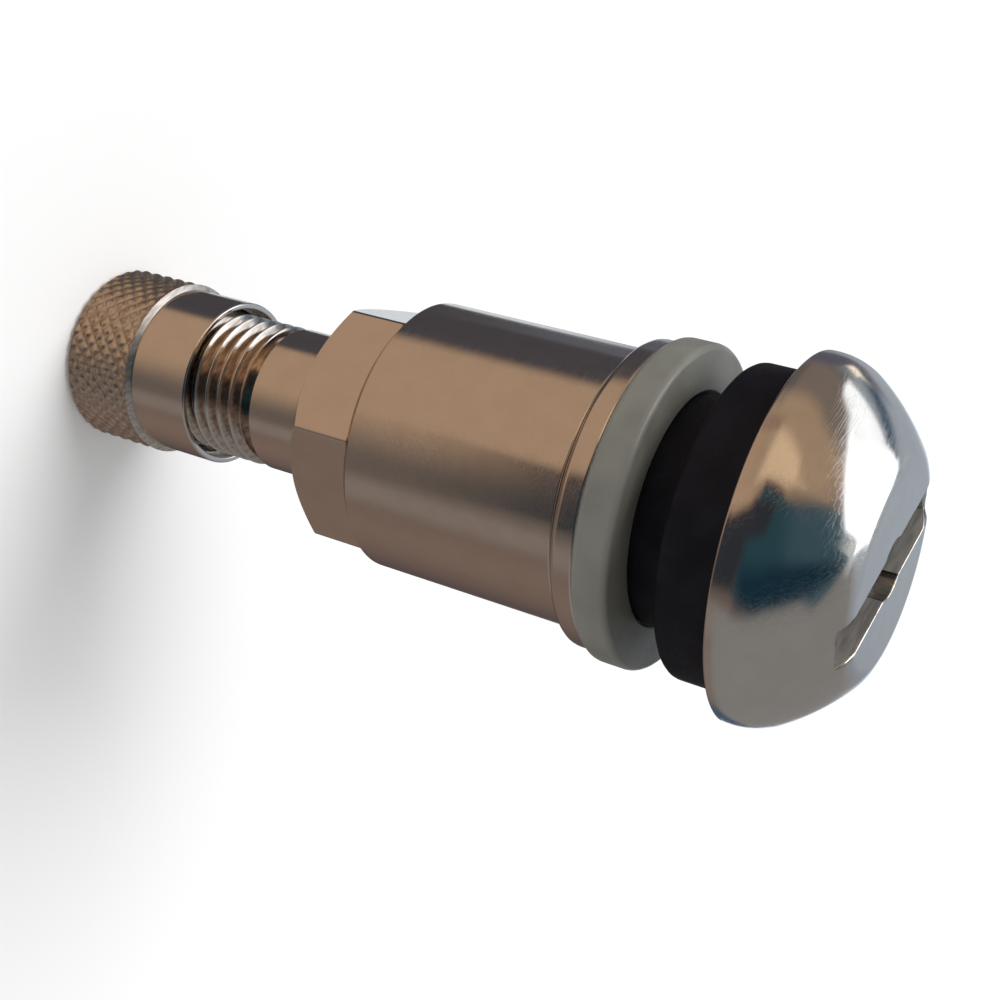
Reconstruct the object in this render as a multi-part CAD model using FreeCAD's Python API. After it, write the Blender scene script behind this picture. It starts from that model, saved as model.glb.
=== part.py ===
import FreeCAD, Part
import math
import os

# Clamp-in tyre valve of nickel-plated brass, standing on its cap with its foot up.
# Millimetres. Z runs along the valve's axis from the closed end of the cap, and X runs
# along the slot in the foot. Everything is turned work: sizes are radii and lengths
# along Z, the radii growing outwards from the cap thread and from the core's pin.

# Clearances
thread_fit = 0.05
snug_fit = 0.02
slide_fit = 0.10
face_gap = 0.03

# Cap thread, the standard 7.7 mm valve thread
cap_thread_radius = 3.85
cap_thread_length = 9.0
thread_chamfer = 0.5
undercut_depth = 0.45
undercut_width = 0.6

# Cap
cap_length = 8.2
cap_end_wall = 1.1
cap_end_bevel = 0.3
cap_end_sides = 24
cap_wall = 0.58
cap_mouth_lip = 0.33
cap_mouth_depth = 0.9
cap_seal_thickness = 1.35
head_step = 0.29
head_length = 4.2
head_chamfer = 0.34

# Diamond knurl round the head of the cap
knurl_count = 36
knurl_row_pitch = 0.8
knurl_depth = 0.14

# Stem
neck_length = 4.12
shank_step = 0.65
air_bore_radius = 1.5
chamber_room = 1.0

# Domed foot: a short rim, then three tangent arcs that meet at these slopes
foot_overhang = 1.2
foot_rim_height = 0.32
shoulder_round = 3.28
shoulder_slope = 54.4
crown_round = 11.4
crown_slope = 36.8
top_round = 2.03

# Screwdriver slot in the foot
slot_length = 11.2
slot_width = 2.3
slot_depth = 1.9

# Rubber grommet, whose spigot fills the rim's 11.3 mm hole
spigot_wall = 1.13
spigot_entry = 0.4
grommet_reach = 2.0
grommet_thickness = 3.0
grommet_corner = 0.35
rim_space = 2.07

# Nylon washer
washer_reach = 2.25
washer_thickness = 1.8
washer_chamfer = 0.3

# Sleeve nut: hexagon, sleeve and flange in one piece
sleeve_wall = 2.4
sleeve_chamfer = 0.2
sleeve_length = 11.65
hex_wall = 1.45
hex_length = 3.94
hex_chamfer_reach = 1.3
hex_chamfer_rise = 1.1
hex_turn = -1.7
groove_width = 0.26
groove_depth = 0.3
nut_flange_reach = 0.7
nut_flange_thickness = 1.25
nut_flange_edge = 0.3
nut_lip_length = 3.0
nut_lip_clearance = 0.15
nut_lip_chamfer = 0.35
shoulder_room = 2.5

# Valve core: pin, spring and its collar
pin_radius = 0.45
pin_recess = 0.35
pin_travel = 1.2
collar_place = 1.0
collar_thickness = 0.4
spring_play = 0.22
spring_wire = 0.3
spring_turns = 5
spring_wire_sides = 8

# Valve core: barrel and gasket
barrel_play = 0.13
barrel_wall = 0.32
barrel_length = 7.4
barrel_lip_reach = 0.55
barrel_lip_thickness = 0.7
guide_play = 0.3
guide_thickness = 1.0
shoulder_place = 1.9
shoulder_thickness = 0.5
gasket_wall = 0.55
gasket_taper = 0.22
gasket_length = 2.0

# Valve core: cup and seal on the end of the pin
seal_reach = 0.55
seal_thickness = 0.65
cup_wall = 0.2
cup_lip_height = 0.45
cup_floor = 0.8
rivet_reach = 0.25
rivet_height = 0.25

# Valve core: threaded plug
core_thread_step = 0.6
core_recess = 0.6
plug_grip_height = 1.5
plug_grip_step = 0.3
plug_flat_depth = 0.6
plug_thread_length = 3.2
plug_end_room = 0.3
crimp_thickness = 0.4
crimp_fit = 0.1

# Radii from the cap thread outwards
cap_bore_radius = cap_thread_radius + thread_fit
skirt_radius = cap_bore_radius + cap_wall
head_radius = skirt_radius + head_step
shank_radius = cap_thread_radius + shank_step
spigot_radius = shank_radius + snug_fit + spigot_wall
grommet_radius = spigot_radius + grommet_reach
foot_radius = grommet_radius + foot_overhang
washer_bore_radius = spigot_radius + slide_fit
washer_radius = washer_bore_radius + washer_reach
nut_bore_radius = shank_radius + thread_fit
sleeve_radius = nut_bore_radius + sleeve_wall
nut_flange_radius = sleeve_radius + nut_flange_reach
hex_half_flats = nut_bore_radius + hex_wall

# Radii from the core's pin outwards
spring_radius = pin_radius + spring_play + spring_wire / 2
barrel_bore_radius = pin_radius + spring_play + spring_wire + barrel_play
barrel_radius = barrel_bore_radius + barrel_wall
barrel_lip_radius = barrel_radius + barrel_lip_reach
guide_radius = pin_radius + guide_play
seal_radius = guide_radius + seal_reach
cup_radius = seal_radius + cup_wall
gasket_small_radius = barrel_radius + gasket_wall
gasket_large_radius = gasket_small_radius + gasket_taper
core_thread_radius = gasket_small_radius + core_thread_step
core_hole_radius = core_thread_radius + thread_fit

# Stations along Z from the cap to the foot
mouth_z = cap_end_wall + cap_seal_thickness + face_gap
thread_end_z = mouth_z + cap_thread_length
neck_z = thread_end_z + undercut_width
nut_z = neck_z + neck_length
sleeve_z = nut_z + hex_length
groove_z = sleeve_z + sleeve_length
nut_flange_z = groove_z + groove_width
nut_face_z = nut_flange_z + nut_flange_thickness
shank_z = nut_z + nut_lip_length + shoulder_room
washer_z = nut_face_z + face_gap
washer_face_z = washer_z + washer_thickness
rim_seat_z = washer_face_z + rim_space
foot_z = rim_seat_z + grommet_thickness

# Stations of the core inside the stem
plug_z = mouth_z + core_recess
plug_thread_z = plug_z + plug_grip_height
plug_end_z = plug_thread_z + plug_thread_length
barrel_z = plug_end_z - crimp_thickness - crimp_fit - barrel_lip_thickness
gasket_z = barrel_z + shoulder_place + shoulder_thickness
gasket_end_z = gasket_z + gasket_length
barrel_end_z = barrel_z + barrel_length
seal_z = barrel_end_z + face_gap
cup_floor_z = seal_z + seal_thickness
cup_end_z = cup_floor_z + cup_floor
collar_z = barrel_z + collar_place
spring_z = collar_z + collar_thickness
spring_end_z = barrel_end_z - guide_thickness
chamber_end_z = cup_end_z + rivet_height + pin_travel + chamber_room


def axis_point(radius, z):
    return FreeCAD.Vector(radius, 0, z)


def spin(edges):
    """Solid of revolution from a closed chain of edges in the XZ plane."""
    face = Part.Face(Part.Wire(edges))
    return face.revolve(FreeCAD.Vector(0, 0, 0), FreeCAD.Vector(0, 0, 1), 360)


def turned(outline):
    """Solid of revolution from the (radius, z) corners of its section."""
    corners = [axis_point(radius, z) for radius, z in outline]
    return spin(Part.makePolygon(corners + corners[:1]).Edges)


def rod(radius, low, high):
    return turned([(0, low), (radius, low), (radius, high), (0, high)])


def tangent_arc(start, slope, next_slope, radius):
    """Arc in the section that eases from one slope to a flatter one, going up and in."""
    def point(angle):
        inward = radius * (math.sin(math.radians(slope)) - math.sin(math.radians(angle)))
        upward = radius * (math.cos(math.radians(angle)) - math.cos(math.radians(slope)))
        return start + axis_point(-inward, upward)
    end = point(next_slope)
    middle = point((slope + next_slope) / 2)
    return Part.Arc(start, middle, end).toShape(), end


def knurled_head():
    """Head of the cap, crossed by two helical families of V grooves.

    Rings of alternate crests and groove bottoms are half a row apart, and each ring is
    the other way about from the last, so that four facets climb to every crest. The
    first and last rings are plain, which bevels the ends down to the cap's closed face
    and to its skirt. The closed face has fewer corners than the rings, because a
    simulated valve never stops rocking on a rounder one.
    """
    rows = round((head_length - cap_end_bevel) / (knurl_row_pitch / 2))
    row = (head_length - cap_end_bevel) / rows
    points = 2 * knurl_count
    end_step = points // cap_end_sides
    end_radius = head_radius - cap_end_bevel
    skirt_ring_radius = skirt_radius - snug_fit

    def corner(ring, index):
        if ring < 0:
            index += end_step // 2 - index % end_step
            radius, z = end_radius, 0
        elif ring > rows:
            radius, z = skirt_ring_radius, head_length + head_chamfer
        else:
            crest = (ring + index) % 2 == 0
            radius = head_radius if crest else head_radius - knurl_depth
            z = cap_end_bevel + ring * row
        angle = math.pi * index / knurl_count
        return FreeCAD.Vector(radius * math.cos(angle), radius * math.sin(angle), z)

    def facet(*corners):
        return Part.Face(Part.makePolygon(list(corners) + [corners[0]]))

    faces = []
    for ring in range(-1, rows + 1):
        for index in range(points):
            here, right = corner(ring, index), corner(ring, index + 1)
            above, across = corner(ring + 1, index), corner(ring + 1, index + 1)
            if ring < 0 and (index + 1) % end_step:
                faces.append(facet(here, across, above))
            elif (ring + index) % 2 == 0:
                faces += [facet(here, right, above), facet(right, across, above)]
            else:
                faces += [facet(here, right, across), facet(here, across, above)]
    faces.append(facet(*[corner(-1, index) for index in range(0, points, end_step)]))
    faces.append(facet(*[corner(rows + 1, index) for index in range(points)]))
    shell = Part.makeShell(faces)
    shell.sewShape()
    return Part.makeSolid(shell)


def cap():
    """Cap with a knurled head, a plain skirt and a recess round its threaded mouth."""
    skirt = rod(skirt_radius, head_length + head_chamfer, cap_length)
    recess_z = cap_length - cap_mouth_depth
    recess_radius = skirt_radius - cap_mouth_lip
    hollow = turned([
        (0, cap_end_wall),
        (cap_bore_radius, cap_end_wall),
        (cap_bore_radius, recess_z),
        (recess_radius, recess_z),
        (recess_radius, cap_length + 1),
        (0, cap_length + 1),
    ])
    return knurled_head().fuse(skirt).cut(hollow)


def cap_seal():
    return rod(cap_bore_radius - thread_fit, cap_end_wall, cap_end_wall + cap_seal_thickness)


def foot_edges():
    """Section of the domed foot, from its back edge up to the axis."""
    rim = axis_point(foot_radius, foot_z)
    rim_top = axis_point(foot_radius, foot_z + foot_rim_height)
    shoulder, shoulder_end = tangent_arc(rim_top, 90, shoulder_slope, shoulder_round)
    crown, crown_end = tangent_arc(shoulder_end, shoulder_slope, crown_slope, crown_round)
    edge, top = tangent_arc(crown_end, crown_slope, 0, top_round)
    flat = Part.LineSegment(top, axis_point(0, top.z)).toShape()
    return [Part.LineSegment(rim, rim_top).toShape(), shoulder, crown, edge, flat], top.z


def stem():
    dome, top_z = foot_edges()
    undercut_radius = cap_thread_radius - undercut_depth
    side = [
        (0, mouth_z),
        (cap_thread_radius - thread_chamfer, mouth_z),
        (cap_thread_radius, mouth_z + thread_chamfer),
        (cap_thread_radius, thread_end_z),
        (undercut_radius, thread_end_z),
        (undercut_radius, neck_z),
        (cap_thread_radius, neck_z),
        (cap_thread_radius, shank_z),
        (shank_radius, shank_z + shank_step),
        (shank_radius, foot_z),
        (foot_radius, foot_z),
    ]
    corners = [axis_point(radius, z) for radius, z in side]
    centre_line = Part.LineSegment(axis_point(0, top_z), corners[0]).toShape()
    body = spin(Part.makePolygon(corners).Edges + dome + [centre_line])
    slot = Part.makeBox(
        slot_length, slot_width, slot_depth + 1,
        FreeCAD.Vector(-slot_length / 2, -slot_width / 2, top_z - slot_depth))
    return body.cut(core_hole(top_z)).cut(slot)


def core_hole(top_z):
    """Stepped hole through the stem: core thread, tapered seat, chamber and air bore."""
    thread_hole_end_z = plug_end_z + plug_end_room
    seat_radius = gasket_large_radius + snug_fit
    chamber_radius = gasket_small_radius + snug_fit
    return turned([
        (0, mouth_z - 1),
        (core_hole_radius, mouth_z - 1),
        (core_hole_radius, thread_hole_end_z),
        (seat_radius, thread_hole_end_z),
        (seat_radius, gasket_z),
        (chamber_radius, gasket_end_z),
        (chamber_radius, chamber_end_z),
        (air_bore_radius, chamber_end_z + chamber_radius - air_bore_radius),
        (air_bore_radius, top_z + 1),
        (0, top_z + 1),
    ])


def grommet():
    bore_radius = shank_radius + snug_fit
    return turned([
        (bore_radius, washer_face_z - spigot_entry),
        (spigot_radius, washer_face_z - spigot_entry),
        (spigot_radius, rim_seat_z),
        (grommet_radius - grommet_corner, rim_seat_z),
        (grommet_radius, rim_seat_z + grommet_corner),
        (grommet_radius, foot_z),
        (bore_radius, foot_z),
    ])


def washer():
    return turned([
        (washer_bore_radius, washer_z),
        (washer_radius - washer_chamfer, washer_z),
        (washer_radius, washer_z + washer_chamfer),
        (washer_radius, washer_face_z - washer_chamfer),
        (washer_radius - washer_chamfer, washer_face_z),
        (washer_bore_radius, washer_face_z),
    ])


def hexagon():
    """Hexagonal prism that mills the flats on the end of the nut."""
    corner_radius = hex_half_flats / math.cos(math.pi / 6)
    corners = []
    for side in range(7):
        angle = math.radians(60 * side + 30 + hex_turn)
        corners.append(FreeCAD.Vector(
            corner_radius * math.cos(angle), corner_radius * math.sin(angle), nut_z))
    return Part.Face(Part.makePolygon(corners)).extrude(FreeCAD.Vector(0, 0, hex_length))


def nut():
    head = turned([
        (0, nut_z),
        (sleeve_radius - hex_chamfer_reach, nut_z),
        (sleeve_radius, nut_z + hex_chamfer_rise),
        (sleeve_radius, sleeve_z),
        (0, sleeve_z),
    ])
    sleeve = turned([
        (0, sleeve_z),
        (sleeve_radius - sleeve_chamfer, sleeve_z),
        (sleeve_radius, sleeve_z + sleeve_chamfer),
        (sleeve_radius, groove_z),
        (sleeve_radius - groove_depth, groove_z),
        (sleeve_radius - groove_depth, nut_flange_z),
        (nut_flange_radius - nut_flange_edge, nut_flange_z),
        (nut_flange_radius, nut_flange_z + nut_flange_edge),
        (nut_flange_radius, nut_face_z - nut_flange_edge),
        (nut_flange_radius - nut_flange_edge, nut_face_z),
        (0, nut_face_z),
    ])
    lip_radius = cap_thread_radius + nut_lip_clearance
    thread_z = nut_z + nut_lip_length
    hole = turned([
        (0, nut_z - 1),
        (lip_radius + nut_lip_chamfer, nut_z - 1),
        (lip_radius + nut_lip_chamfer, nut_z),
        (lip_radius, nut_z + nut_lip_chamfer),
        (lip_radius, thread_z),
        (nut_bore_radius, thread_z + nut_bore_radius - lip_radius),
        (nut_bore_radius, nut_face_z + 1),
        (0, nut_face_z + 1),
    ])
    return head.common(hexagon()).fuse(sleeve).cut(hole)


def core_plug():
    """Threaded plug with two flats for the core key, crimped over the barrel's lip."""
    grip_radius = core_thread_radius - plug_grip_step
    lip_space_radius = barrel_lip_radius + crimp_fit
    lip_space_z = barrel_z - crimp_fit
    crimp_z = plug_end_z - crimp_thickness
    body = turned([
        (barrel_bore_radius, plug_z),
        (grip_radius, plug_z),
        (grip_radius, plug_thread_z),
        (core_thread_radius, plug_thread_z),
        (core_thread_radius, plug_end_z),
        (barrel_radius + crimp_fit, plug_end_z),
        (barrel_radius + crimp_fit, crimp_z),
        (lip_space_radius, crimp_z),
        (lip_space_radius, lip_space_z),
        (barrel_bore_radius, lip_space_z),
    ])
    flat = grip_radius - plug_flat_depth
    for side in (flat, -flat - core_thread_radius):
        body = body.cut(Part.makeBox(
            core_thread_radius, 2 * core_thread_radius, plug_grip_height,
            FreeCAD.Vector(side, -core_thread_radius, plug_z)))
    return body


def core_barrel():
    """Tube that turns in the plug, with the gasket's shoulder and the pin's guide."""
    lip_end_z = barrel_z + barrel_lip_thickness
    shoulder_z = barrel_z + shoulder_place
    return turned([
        (barrel_bore_radius, barrel_z),
        (barrel_lip_radius, barrel_z),
        (barrel_lip_radius, lip_end_z),
        (barrel_radius, lip_end_z),
        (barrel_radius, shoulder_z),
        (gasket_small_radius, shoulder_z),
        (gasket_small_radius, gasket_z),
        (barrel_radius, gasket_z),
        (barrel_radius, barrel_end_z),
        (guide_radius, barrel_end_z),
        (guide_radius, spring_end_z),
        (barrel_bore_radius, spring_end_z),
    ])


def core_gasket():
    return turned([
        (barrel_radius, gasket_z),
        (gasket_large_radius, gasket_z),
        (gasket_small_radius, gasket_end_z),
        (barrel_radius, gasket_end_z),
    ])


def core_pin():
    """Pin with the collar that takes the spring, riveted over behind the cup."""
    collar_radius = spring_radius + spring_wire / 2
    rivet_radius = pin_radius + rivet_reach
    return turned([
        (0, mouth_z + pin_recess),
        (pin_radius, mouth_z + pin_recess),
        (pin_radius, collar_z),
        (collar_radius, collar_z),
        (collar_radius, spring_z),
        (pin_radius, spring_z),
        (pin_radius, cup_end_z),
        (rivet_radius, cup_end_z),
        (pin_radius, cup_end_z + rivet_height),
        (0, cup_end_z + rivet_height),
    ])


def core_spring():
    """Helical spring between the pin's collar and the barrel's guide."""
    length = spring_end_z - spring_z - spring_wire
    path = Part.makeHelix(length / spring_turns, length, spring_radius)
    path.translate(FreeCAD.Vector(0, 0, spring_z + spring_wire / 2))
    corners = []
    for side in range(spring_wire_sides + 1):
        angle = 2 * math.pi * side / spring_wire_sides
        corners.append(axis_point(
            spring_radius + spring_wire / 2 * math.cos(angle),
            spring_z + spring_wire / 2 * (1 + math.sin(angle))))
    section = Part.makePolygon(corners)
    return Part.Wire(path).makePipeShell([section], True, True)


def core_cup():
    return turned([
        (pin_radius, cup_floor_z),
        (seal_radius, cup_floor_z),
        (seal_radius, cup_floor_z - cup_lip_height),
        (cup_radius, cup_floor_z - cup_lip_height),
        (cup_radius, cup_end_z),
        (pin_radius, cup_end_z),
    ])


def core_seal():
    return turned([
        (pin_radius, seal_z),
        (seal_radius, seal_z),
        (seal_radius, cup_floor_z),
        (pin_radius, cup_floor_z),
    ])


os.makedirs("parts", exist_ok=True)
for piece in (stem, grommet, washer, nut, cap, cap_seal, core_plug, core_barrel,
              core_gasket, core_pin, core_spring, core_cup, core_seal):
    piece().exportStep(f"parts/{piece.__name__}.step")
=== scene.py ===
import math

import bpy
import numpy as np
from mathutils import Matrix, Vector


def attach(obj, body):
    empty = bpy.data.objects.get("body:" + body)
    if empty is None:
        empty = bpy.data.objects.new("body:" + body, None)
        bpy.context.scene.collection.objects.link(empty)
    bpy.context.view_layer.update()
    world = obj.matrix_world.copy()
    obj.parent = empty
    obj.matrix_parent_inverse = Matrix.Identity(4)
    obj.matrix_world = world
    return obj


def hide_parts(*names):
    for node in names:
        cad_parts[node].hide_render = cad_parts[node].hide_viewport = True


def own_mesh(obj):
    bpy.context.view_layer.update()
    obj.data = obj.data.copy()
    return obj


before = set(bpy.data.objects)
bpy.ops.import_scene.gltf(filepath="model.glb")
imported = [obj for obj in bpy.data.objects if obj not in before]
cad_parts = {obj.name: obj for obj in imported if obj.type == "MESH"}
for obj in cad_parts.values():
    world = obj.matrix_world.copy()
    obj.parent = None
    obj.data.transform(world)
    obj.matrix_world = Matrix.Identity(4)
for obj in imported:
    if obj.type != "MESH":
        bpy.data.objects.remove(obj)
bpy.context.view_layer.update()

# Clamp-in tyre valve of nickel-plated brass, standing on its cap with its foot up.
# Sizes are in millimetres and angles in degrees. Z runs along the valve from the closed
# end of the cap, and X runs along the slot in the foot.
millimetre = 0.001

# Camera
camera_place = (50.132, -50.085, 61.280)
camera_aim = (1.462, 1.382, 25.671)
camera_roll = -106.558
camera_lens = 57.15
camera_sensor = 36.0

# Cap thread and shank thread on the stem
thread_radius = 3.85
thread_root = 3.40
thread_pitch = 0.79375
thread_rounding = 0.05
thread_crest_share = 0.10
thread_root_share = 0.22
mouth_z = 2.48
mouth_fillet = 0.10
mouth_edge_radius = 3.35
thread_end_z = 11.48
neck_z = 12.08
neck_root_fillet = 0.08
neck_fillet = 0.05
shank_radius = 4.50
shank_root = 4.10
shank_pitch = 0.75
shank_cone_z = 21.70
shank_thread_end_z = 34.40

# Hole through the stem
core_hole_radius = 2.62
core_hole_end_z = 8.08
seat_radius = 2.21
seat_z = 8.98
chamber_radius = 1.99
chamber_z = 10.98
chamber_end_z = 17.91
air_bore_radius = 1.50

# Domed foot: each arc is a radius, the slope that it starts at and the slope it ends at
foot_radius = 8.85
foot_z = 40.20
foot_edge = 0.12
foot_rim_z = 40.52
foot_arcs = ((3.28, 90.0, 54.4), (11.4, 54.4, 36.8), (2.03, 36.8, 0.0))
foot_arc_step = 2.5

# Slot in the foot. Each wave of its uneven edge is a count round the foot, a phase and a
# size.
slot_half_length = 5.60
slot_half_width = 1.15
slot_depth = 1.90
slot_edge = 0.07
slot_corner = 0.08
slot_end_wear = 0.14
slot_end_wear_share = 0.3
slot_edge_waves = ((7, 0.6, 0.16), (17, 2.1, 0.16), (41, 0.0, 0.16), (83, 1.3, 0.128))

# Grommet
grommet_bore_radius = 4.52
spigot_radius = 5.65
spigot_end_z = 34.73
grommet_radius = 7.65
rim_seat_z = 37.20
grommet_corner = 0.38
grommet_bore_fillet = 0.05
grommet_back_fillet = 0.10
spigot_bore_fillet = 0.15
spigot_fillet = 0.22
rim_seat_fillet = 0.12

# Washer
washer_bore_radius = 5.75
washer_radius = 8.00
washer_z = 33.33
washer_face_z = 35.13
washer_corner = 0.34
washer_bore_fillet = 0.12

# Sleeve nut
nut_z = 16.20
hex_half_flats = 5.80
hex_turn = -4.2
hex_corner = 0.30
hex_flat_steps = 34
hex_corner_steps = 6
hex_chamfer_radius = 5.65
hex_chamfer_slope = 1.1 / 1.3
sleeve_z = 20.14
sleeve_radius = 6.95
sleeve_chamfer = 0.34
groove_z = 31.79
groove_depth = 0.30
groove_entry = 0.10
groove_corner = 0.12
nut_flange_z = 32.05
nut_flange_radius = 7.65
nut_face_z = 33.30
nut_edge = 0.34
nut_face_edge = 0.16
nut_bore_radius = 4.55
nut_lip_radius = 4.00
nut_lip_z = 19.20
nut_lip_chamfer = 0.35

# Cap
cap_bore_radius = 3.90
cap_bore_root = 4.14
cap_end_wall = 1.10
cap_skirt_radius = 4.48
cap_mouth_z = 8.20
cap_recess_z = 7.30
cap_recess_radius = 4.15
cap_thread_z = 2.60
cap_lip_edge = 0.10
cap_seal_z = 2.45
cap_seal_gap = 0.05
cap_seal_fillet = 0.12

# Knurl round the head of the cap. It fades out just before the chamfer.
knurl_count = 36
knurl_low_z = 0.30
knurl_high_z = 4.37
knurl_rows = 10
knurl_depth = 0.09
knurl_flat = 0.75
knurl_fade = 0.22
knurl_round_share = 0.35
head_radius = 4.77
head_end_z = 4.54
knurl_steps = 4

# Spring of the core, a round wire between the pin's collar and the barrel's end
spring_low_z = 7.98
spring_high_z = 12.98
spring_radius = 0.82
spring_wire = 0.30
spring_turns = 5
spring_turn_steps = 48

# How finely round pieces are divided, and how near points are one point
ring_steps = 240
cap_seal_steps = 96
slot_end_steps = 16
slot_side_steps = 22
slot_bore_steps = 40
flat_top_rows = 8
wire_sides = 12
weld_distance = 1e-5


def radial(azimuths):
    """Unit vectors across the axis, one for each azimuth in radians."""
    azimuths = np.asarray(azimuths, float)
    return np.stack([np.cos(azimuths), np.sin(azimuths), 0 * azimuths], -1)


def around(count):
    """Azimuths of a whole turn in equal steps, with the first again at the end."""
    return np.linspace(0, 2 * np.pi, count + 1)


up = np.array([0.0, 0.0, 1.0])


class Skin:
    """A mesh in the making.

    Each patch is a grid of points with normals of its own. Patches share vertices where
    they meet, and keep their own normals there, so that turned faces reflect as true
    cones and cylinders and the edges between them stay crisp.
    """

    def __init__(self):
        self.points = []
        self.normals = []
        self.quads = []
        self.count = 0

    def patch(self, points, normals):
        rows, columns = points.shape[:2]
        index = self.count + np.arange(rows * columns).reshape(rows, columns)
        quads = np.stack([index[:-1, :-1], index[:-1, 1:], index[1:, 1:], index[1:, :-1]], -1)
        self.quads.append(quads.reshape(-1, 4))
        self.points.append(points.reshape(-1, 3))
        self.normals.append(np.broadcast_to(normals, points.shape).reshape(-1, 3))
        self.count += rows * columns

    def turn(self, rows, azimuths):
        """Patch of revolution from rows of radius, z and the normal's two parts."""
        rows = np.asarray(rows, float)
        out = radial(azimuths)
        radius, z, across, along = (rows[:, part, None, None] for part in range(4))
        self.patch(radius * out + z * up, across * out + along * up)

    def piece(self, name, material):
        """The finished object, in metres, with the grids joined and their normals kept."""
        points = np.concatenate(self.points)
        normals = np.concatenate(self.normals)
        quads = np.concatenate(self.quads)
        keys = np.round(points / weld_distance).astype(np.int64)
        first, joined = np.unique(keys, axis=0, return_index=True, return_inverse=True)[1:]
        joined = joined.reshape(-1)
        faces, corner_normals = [], []
        for quad in quads:
            corners = [corner for corner, after in zip(quad, np.roll(quad, -1))
                       if joined[corner] != joined[after]]
            if len(set(joined[corners])) > 2:
                faces.append([int(joined[corner]) for corner in corners])
                corner_normals.extend(corners)
        mesh = bpy.data.meshes.new(name)
        mesh.from_pydata((points[first] * millimetre).tolist(), [], faces)
        mesh.polygons.foreach_set("use_smooth", [True] * len(faces))
        chosen = normals[corner_normals]
        chosen = chosen / np.maximum(np.linalg.norm(chosen, axis=1), 1e-9)[:, None]
        mesh.normals_split_custom_set(chosen.tolist())
        mesh.materials.append(material)
        mesh.update()
        built = bpy.data.objects.new(name, mesh)
        bpy.context.scene.collection.objects.link(built)
        return built


def section(corners, steps=4):
    """Rows (radius, z, normal) along a path of corners, each (radius, z) or with a fillet.

    The material lies on the left of the path. A corner with no fillet stays sharp.
    """
    rows = []
    spots = [np.array(corner[:2], float) for corner in corners]
    fillets = [corner[2] if len(corner) > 2 else 0 for corner in corners]
    ways = [(after - spot) / np.linalg.norm(after - spot)
            for spot, after in zip(spots, spots[1:])]
    outs = [np.array([way[1], -way[0]]) for way in ways]
    rows.append((*spots[0], *outs[0]))
    for index in range(1, len(spots) - 1):
        spot, fillet = spots[index], fillets[index]
        before, after = outs[index - 1], outs[index]
        if not fillet:
            rows += [(*spot, *before), (*spot, *after)]
            continue
        side = math.copysign(1, before[0] * after[1] - before[1] * after[0])
        bend = math.acos(max(-1, min(1, float(before @ after))))
        reach = fillet * math.tan(bend / 2)
        centre = spot - ways[index - 1] * reach - side * fillet * before
        for step in range(steps + 1):
            turned = side * bend * step / steps
            out = np.array([
                before[0] * math.cos(turned) - before[1] * math.sin(turned),
                before[0] * math.sin(turned) + before[1] * math.cos(turned)])
            rows.append((*(centre + side * fillet * out), *out))
    rows.append((*spots[-1], *outs[-1]))
    return rows


def ring(corners):
    """Closed section: a path that ends where it starts, halfway along its first side."""
    first, second = np.array(corners[0][:2]), np.array(corners[1][:2])
    middle = tuple((first + second) / 2)
    return section([middle, *corners[1:], corners[0], middle])


def grid_normals(points):
    """Smooth normals of a grid whose last column meets its first."""
    across = np.roll(points[:, :-1], -1, 1) - np.roll(points[:, :-1], 1, 1)
    along = np.gradient(points[:, :-1], axis=0)
    normals = np.cross(across, along)
    normals /= np.maximum(np.linalg.norm(normals, axis=-1), 1e-12)[..., None]
    return np.concatenate([normals, normals[:, :1]], 1)


def thread(skin, azimuths, low, high, pitch, crest, root, limit=None):
    """Right-hand V thread between two heights, cut square at both ends.

    limit gives the largest radius at each height and the normal there, for a chamfer.
    A root further out than the crest makes an inner thread. Returns its two end rows.
    """
    inner = root > crest
    crest_flat, root_flat = thread_crest_share * pitch, thread_root_share * pitch
    flank = (pitch - crest_flat - root_flat) / 2
    rows = np.array(section([
        (root, 0),
        (root, root_flat / 2, thread_rounding),
        (crest, root_flat / 2 + flank, thread_rounding),
        (crest, root_flat / 2 + flank + crest_flat, thread_rounding),
        (root, pitch - root_flat / 2, thread_rounding),
        (root, pitch),
    ], steps=2))
    if inner:
        rows[:, 2:] *= -1
    turns = int(math.ceil((high - low) / pitch)) + 1
    lead = pitch * azimuths / (2 * np.pi)
    raised = (low - pitch + np.arange(turns + 1)[:, None] * pitch + rows[:, 1]).reshape(-1)
    z = np.clip(raised[:, None] + lead, low, high)
    phase = np.mod(z - lead - low, pitch)
    radius = np.interp(phase, rows[:, 1], rows[:, 0])
    shape = (turns + 1, len(rows))
    across = np.broadcast_to(rows[:, 2], shape).reshape(-1)[:, None] + 0 * z
    along = np.broadcast_to(rows[:, 3], shape).reshape(-1)[:, None] + 0 * z
    if limit:
        most, limit_across, limit_along = limit(z)
        over = radius > most
        radius = np.minimum(radius, most)
        across = np.where(over, limit_across, across)
        along = np.where(over, limit_along, along)
    out = radial(azimuths)
    points = radius[..., None] * out + z[..., None] * up
    normals = across[..., None] * out + along[..., None] * up
    if inner:
        skin.patch(points[::-1], normals[::-1])
    else:
        skin.patch(points, normals)
    return points[0], points[-1]


def cone_limit(radius, z):
    """Limit for a thread: a cone that opens upwards from this radius at 45 degrees."""
    lean = math.sqrt(0.5)

    def limit(height):
        return radius + height - z, lean, -lean
    return limit


# The foot and its slot

slot_corner_azimuth = math.atan2(slot_half_width, slot_half_length)
bore_corner_azimuth = math.asin(slot_half_width / air_bore_radius)


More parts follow.
